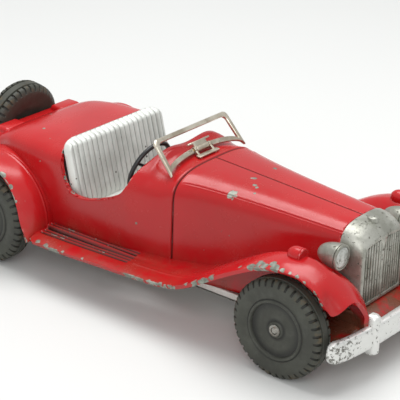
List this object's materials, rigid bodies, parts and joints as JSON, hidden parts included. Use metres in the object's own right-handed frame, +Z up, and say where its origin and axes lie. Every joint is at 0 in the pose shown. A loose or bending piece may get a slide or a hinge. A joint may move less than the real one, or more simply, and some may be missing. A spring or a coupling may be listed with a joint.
{
  "type": "toy car",
  "caption": "Die-cast open two-seat sports roadster toy with long bonnet, flowing fenders, folding windscreen, rear spare wheel and friction-driven rear axle.",
  "frame": {"origin": "on the surface the wheels stand on, below the middle of the bounding box", "axes": "+X to the car's left side, -Y towards the nose, +Z up"},
  "size_m": [0.093, 0.2178, 0.0705],
  "materials": {
    "red_paint": "glossy red enamel on die-cast zinc, chipped to grey metal",
    "worn_plating": "dull pitted silver plating on die-cast zinc",
    "silver_paint": "satin silver paint with small chips",
    "nickel": "tarnished nickel plating",
    "steel": "plain dull steel",
    "tinplate": "bare tinned steel sheet",
    "rubber": "moulded black rubber, dusty",
    "black_plastic": "moulded black plastic",
    "brass": "stamped brass",
    "flywheel_metal": "turned dark metal"
  },
  "bodies": {
    "root": {"body_casting": "red_paint", "radiator_grille": "worn_plating", "front_bumper": "worn_plating", "windscreen_bracket": "nickel", "windscreen_pin": "brass", "seat": "silver_paint", "base_plate": "tinplate", "base_screws": "steel", "front_axle": "steel", "front_axle_caps": "steel", "spare_stud": "steel", "motor_plate_left": "tinplate", "motor_plate_right": "tinplate", "motor_posts": "steel"},
    "rear_wheelset": {"rear_axle": "steel", "rear_wheel_left": "rubber", "rear_wheel_right": "rubber", "rear_axle_caps": "steel", "axle_gear": "brass"},
    "front_left": {"front_wheel_left": "rubber"},
    "front_right": {"front_wheel_right": "rubber"},
    "windscreen": {"windscreen_frame": "nickel"},
    "steering": {"steering_wheel": "black_plastic", "steering_column": "steel", "column_clip": "steel"},
    "spare": {"spare_wheel": "rubber"},
    "idler": {"idler_shaft": "steel", "idler_gear": "brass", "idler_pinion": "brass"},
    "flywheel_group": {"flywheel": "flywheel_metal", "flywheel_shaft": "steel", "flywheel_pinion": "brass"}
  },
  "joints": [
    {"name": "rear_wheels_roll", "type": "hinge", "parent": "root", "child": "rear_wheelset", "pos_m": [0, 0.0775, 0.0207], "axis": [1, 0, 0], "continuous": true},
    {"name": "front_left_roll", "type": "hinge", "parent": "root", "child": "front_left", "pos_m": [0.041, -0.0785, 0.0207], "axis": [1, 0, 0], "continuous": true},
    {"name": "front_right_roll", "type": "hinge", "parent": "root", "child": "front_right", "pos_m": [-0.041, -0.0785, 0.0207], "axis": [1, 0, 0], "continuous": true},
    {"name": "windscreen_fold", "type": "hinge", "parent": "root", "child": "windscreen", "pos_m": [0, -0.005, 0.0623], "axis": [1, 0, 0], "range_deg": [0, 132]},
    {"name": "steering_turn", "type": "hinge", "parent": "root", "child": "steering", "pos_m": [-0.015, -0.004, 0.0486], "axis": [0, 0.9511, 0.309], "continuous": true},
    {"name": "spare_turn", "type": "hinge", "parent": "root", "child": "spare", "pos_m": [0, 0.0935, 0.0434], "axis": [0, 0.989, 0.1478], "continuous": true},
    {"name": "idler_spin", "type": "hinge", "parent": "root", "child": "idler", "pos_m": [0, 0.07381, 0.03085], "axis": [1, 0, 0], "continuous": true},
    {"name": "flywheel_spin", "type": "hinge", "parent": "root", "child": "flywheel_group", "pos_m": [0, 0.0628, 0.0338], "axis": [1, 0, 0], "continuous": true}
  ],
  "couplings": [
    {"joint": "idler_spin", "follows": "rear_wheels_roll", "ratio": -2.6},
    {"joint": "flywheel_spin", "follows": "rear_wheels_roll", "ratio": 7.28}
  ]
}
